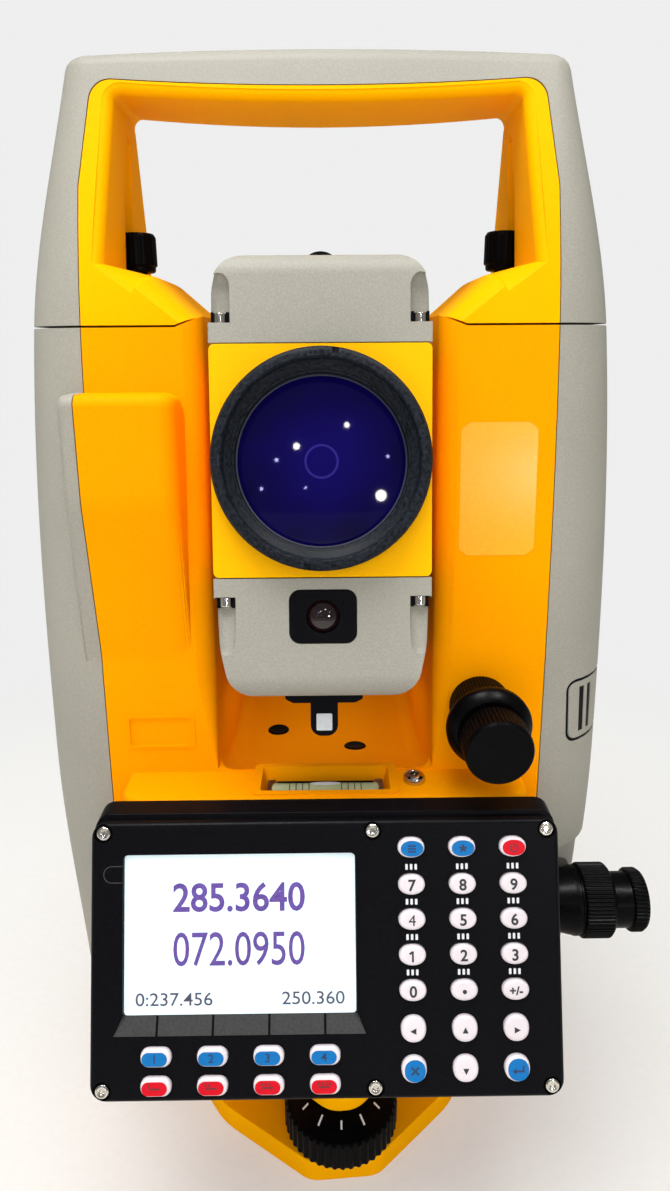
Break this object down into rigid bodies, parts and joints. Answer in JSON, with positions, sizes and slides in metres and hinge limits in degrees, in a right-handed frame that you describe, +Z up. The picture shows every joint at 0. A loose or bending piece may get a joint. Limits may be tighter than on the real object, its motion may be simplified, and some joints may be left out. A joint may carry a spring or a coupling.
{
  "type": "surveying total station",
  "caption": "Surveying total station on a levelling tribrach: a forked yellow alidade with a keyboard and carrying handle, and a telescope that plunges between its standards.",
  "frame": {"origin": "centre of the tripod thread on the underside of the base plate", "axes": "+Z up along the vertical axis, -Y towards the objective and the keyboard, +X towards the battery side"},
  "size_m": [0.1955, 0.1949, 0.3585],
  "materials": {
    "yellow_paint": "satin orange-yellow paint on die-cast aluminium",
    "grey_cover": "finely textured warm grey",
    "black_plastic": "satin black",
    "black_anodised": "matte black",
    "machined_steel": "turned",
    "nickel_screw": "nickel plated",
    "coated_glass": "blue-violet anti-reflection coating",
    "circle_glass": "clear with a fine graduation",
    "vial_glass": "pale green spirit",
    "display_screen": "lit white screen",
    "white_key": "translucent white silicone",
    "blue_key": "white silicone with a blue oval",
    "red_key": "white silicone with a red oval"
  },
  "bodies": {
    "tribrach": {"base_plate": "yellow_paint", "tribrach_body": "yellow_paint", "circular_level": "vial_glass", "instrument_base": "grey_cover"},
    "alidade": {"azimuth_spindle": "machined_steel", "horizontal_circle": "circle_glass", "alidade_frame": "yellow_paint", "left_side_cover": "grey_cover", "right_side_cover": "grey_cover", "handle_frame": "yellow_paint", "handle_cap": "grey_cover", "plate_level": "vial_glass", "keyboard_housing": "black_plastic", "keyboard_bezel": "black_plastic", "display_panel": "display_screen", "case_screws": "nickel_screw", "trunnion_bearings": "machined_steel"},
    "telescope": {"telescope_housing": "yellow_paint", "telescope_upper_cover": "grey_cover", "telescope_lower_cover": "grey_cover", "telescope_screws": "nickel_screw", "objective_ring": "black_anodised", "objective_lens": "coated_glass", "guide_window": "black_plastic", "sights": "black_plastic", "trunnion_axles": "machined_steel", "vertical_circle": "circle_glass", "eyepiece_tube": "black_anodised"},
    "battery_pack": {"battery_pack": "grey_cover"},
    "battery_latch": {"battery_latch": "grey_cover"},
    "lock_lever": {"lock_lever": "black_plastic"},
    "foot_screw_front": {"foot_screw_front": "black_plastic"},
    "foot_screw_left": {"foot_screw_left": "black_plastic"},
    "foot_screw_right": {"foot_screw_right": "black_plastic"},
    "vertical_clamp_knob": {"vertical_clamp_knob": "black_plastic"},
    "vertical_tangent_knob": {"vertical_tangent_knob": "black_plastic"},
    "horizontal_clamp_knob": {"horizontal_clamp_knob": "black_plastic"},
    "horizontal_tangent_knob": {"horizontal_tangent_knob": "black_plastic"},
    "focus_ring": {"focus_ring": "black_plastic"},
    "eyepiece_ring": {"eyepiece_ring": "black_plastic"},
    "handle_screw_left": {"handle_screw_left": "black_plastic"},
    "handle_screw_right": {"handle_screw_right": "black_plastic"},
    "number_keys": {"number_keys": "white_key"},
    "blue_key_1": {"blue_key_1": "blue_key"},
    "blue_key_2": {"blue_key_2": "blue_key"},
    "blue_key_3": {"blue_key_3": "blue_key"},
    "blue_key_4": {"blue_key_4": "blue_key"},
    "red_key_1": {"red_key_1": "red_key"},
    "red_key_2": {"red_key_2": "red_key"},
    "red_key_3": {"red_key_3": "red_key"},
    "red_key_4": {"red_key_4": "red_key"},
    "menu_key": {"menu_key": "blue_key"},
    "star_key": {"star_key": "blue_key"},
    "power_key": {"power_key": "red_key"},
    "left_key": {"left_key": "white_key"},
    "up_key": {"up_key": "white_key"},
    "right_key": {"right_key": "white_key"},
    "down_key": {"down_key": "white_key"},
    "escape_key": {"escape_key": "blue_key"},
    "enter_key": {"enter_key": "blue_key"}
  },
  "joints": [
    {"name": "alidade_turn", "type": "hinge", "parent": "tribrach", "child": "alidade", "pos_m": [0, 0, 0.062], "axis": [0, 0, 1], "continuous": true},
    {"name": "telescope_plunge", "type": "hinge", "parent": "alidade", "child": "telescope", "pos_m": [0, 0, 0.2354], "axis": [1, 0, 0], "continuous": true},
    {"name": "battery_pull", "type": "slide", "parent": "alidade", "child": "battery_pack", "axis": [1, 0, 0], "range_m": [0, 0.045]},
    {"name": "battery_latch_press", "type": "slide", "parent": "alidade", "child": "battery_latch", "axis": [-0.788, 0.6157, 0], "range_m": [0, 0.002], "stiffness_N_per_m": 1500},
    {"name": "lock_lever_turn", "type": "hinge", "parent": "tribrach", "child": "lock_lever", "pos_m": [0, 0, 0.0396], "axis": [0.8988, -0.4384, 0], "range_deg": [-70, 0]},
    {"name": "foot_screw_front_turn", "type": "hinge", "parent": "tribrach", "child": "foot_screw_front", "pos_m": [0.00426, -0.06085, 0.0135], "axis": [0, 0, 1], "range_deg": [-1800, 1800]},
    {"name": "foot_screw_left_turn", "type": "hinge", "parent": "tribrach", "child": "foot_screw_left", "pos_m": [-0.05483, 0.02674, 0.0135], "axis": [0, 0, 1], "range_deg": [-1800, 1800]},
    {"name": "foot_screw_right_turn", "type": "hinge", "parent": "tribrach", "child": "foot_screw_right", "pos_m": [0.05057, 0.03411, 0.0135], "axis": [0, 0, 1], "range_deg": [-1800, 1800]},
    {"name": "vertical_clamp_turn", "type": "hinge", "parent": "alidade", "child": "vertical_clamp_knob", "pos_m": [0.048, -0.05175, 0.1724], "axis": [0, -1, 0], "range_deg": [0, 75]},
    {"name": "vertical_tangent_turn", "type": "hinge", "parent": "alidade", "child": "vertical_tangent_knob", "pos_m": [0.048, -0.05175, 0.1724], "axis": [0, -1, 0], "range_deg": [-1440, 1440]},
    {"name": "horizontal_clamp_turn", "type": "hinge", "parent": "alidade", "child": "horizontal_clamp_knob", "pos_m": [0.062, -0.057, 0.103], "axis": [1, 0, 0], "range_deg": [0, 75]},
    {"name": "horizontal_tangent_turn", "type": "hinge", "parent": "alidade", "child": "horizontal_tangent_knob", "pos_m": [0.062, -0.057, 0.103], "axis": [1, 0, 0], "range_deg": [-1440, 1440]},
    {"name": "focus_ring_turn", "type": "hinge", "parent": "telescope", "child": "focus_ring", "pos_m": [0, 0, 0.2354], "axis": [0, 0.9781, -0.2079], "range_deg": [-170, 170]},
    {"name": "eyepiece_ring_turn", "type": "hinge", "parent": "telescope", "child": "eyepiece_ring", "pos_m": [0, 0, 0.2354], "axis": [0, 0.9781, -0.2079], "range_deg": [-150, 150]},
    {"name": "handle_screw_left_turn", "type": "hinge", "parent": "alidade", "child": "handle_screw_left", "pos_m": [-0.05875, 0, 0.3], "axis": [0, 0, 1], "range_deg": [0, 1440]},
    {"name": "handle_screw_right_turn", "type": "hinge", "parent": "alidade", "child": "handle_screw_right", "pos_m": [0.05875, 0, 0.3], "axis": [0, 0, 1], "range_deg": [0, 1440]},
    {"name": "number_keys_press", "type": "slide", "parent": "alidade", "child": "number_keys", "axis": [0, 0.9354, -0.3535], "range_m": [0, 0.0008], "stiffness_N_per_m": 1500},
    {"name": "blue_key_1_press", "type": "slide", "parent": "alidade", "child": "blue_key_1", "axis": [0, 0.9354, -0.3535], "range_m": [0, 0.0008], "stiffness_N_per_m": 1500},
    {"name": "blue_key_2_press", "type": "slide", "parent": "alidade", "child": "blue_key_2", "axis": [0, 0.9354, -0.3535], "range_m": [0, 0.0008], "stiffness_N_per_m": 1500},
    {"name": "blue_key_3_press", "type": "slide", "parent": "alidade", "child": "blue_key_3", "axis": [0, 0.9354, -0.3535], "range_m": [0, 0.0008], "stiffness_N_per_m": 1500},
    {"name": "blue_key_4_press", "type": "slide", "parent": "alidade", "child": "blue_key_4", "axis": [0, 0.9354, -0.3535], "range_m": [0, 0.0008], "stiffness_N_per_m": 1500},
    {"name": "red_key_1_press", "type": "slide", "parent": "alidade", "child": "red_key_1", "axis": [0, 0.9354, -0.3535], "range_m": [0, 0.0008], "stiffness_N_per_m": 1500},
    {"name": "red_key_2_press", "type": "slide", "parent": "alidade", "child": "red_key_2", "axis": [0, 0.9354, -0.3535], "range_m": [0, 0.0008], "stiffness_N_per_m": 1500},
    {"name": "red_key_3_press", "type": "slide", "parent": "alidade", "child": "red_key_3", "axis": [0, 0.9354, -0.3535], "range_m": [0, 0.0008], "stiffness_N_per_m": 1500},
    {"name": "red_key_4_press", "type": "slide", "parent": "alidade", "child": "red_key_4", "axis": [0, 0.9354, -0.3535], "range_m": [0, 0.0008], "stiffness_N_per_m": 1500},
    {"name": "menu_key_press", "type": "slide", "parent": "alidade", "child": "menu_key", "axis": [0, 0.9354, -0.3535], "range_m": [0, 0.0008], "stiffness_N_per_m": 1500},
    {"name": "star_key_press", "type": "slide", "parent": "alidade", "child": "star_key", "axis": [0, 0.9354, -0.3535], "range_m": [0, 0.0008], "stiffness_N_per_m": 1500},
    {"name": "power_key_press", "type": "slide", "parent": "alidade", "child": "power_key", "axis": [0, 0.9354, -0.3535], "range_m": [0, 0.0008], "stiffness_N_per_m": 1500},
    {"name": "left_key_press", "type": "slide", "parent": "alidade", "child": "left_key", "axis": [0, 0.9354, -0.3535], "range_m": [0, 0.0008], "stiffness_N_per_m": 1500},
    {"name": "up_key_press", "type": "slide", "parent": "alidade", "child": "up_key", "axis": [0, 0.9354, -0.3535], "range_m": [0, 0.0008], "stiffness_N_per_m": 1500},
    {"name": "right_key_press", "type": "slide", "parent": "alidade", "child": "right_key", "axis": [0, 0.9354, -0.3535], "range_m": [0, 0.0008], "stiffness_N_per_m": 1500},
    {"name": "down_key_press", "type": "slide", "parent": "alidade", "child": "down_key", "axis": [0, 0.9354, -0.3535], "range_m": [0, 0.0008], "stiffness_N_per_m": 1500},
    {"name": "escape_key_press", "type": "slide", "parent": "alidade", "child": "escape_key", "axis": [0, 0.9354, -0.3535], "range_m": [0, 0.0008], "stiffness_N_per_m": 1500},
    {"name": "enter_key_press", "type": "slide", "parent": "alidade", "child": "enter_key", "axis": [0, 0.9354, -0.3535], "range_m": [0, 0.0008], "stiffness_N_per_m": 1500}
  ]
}
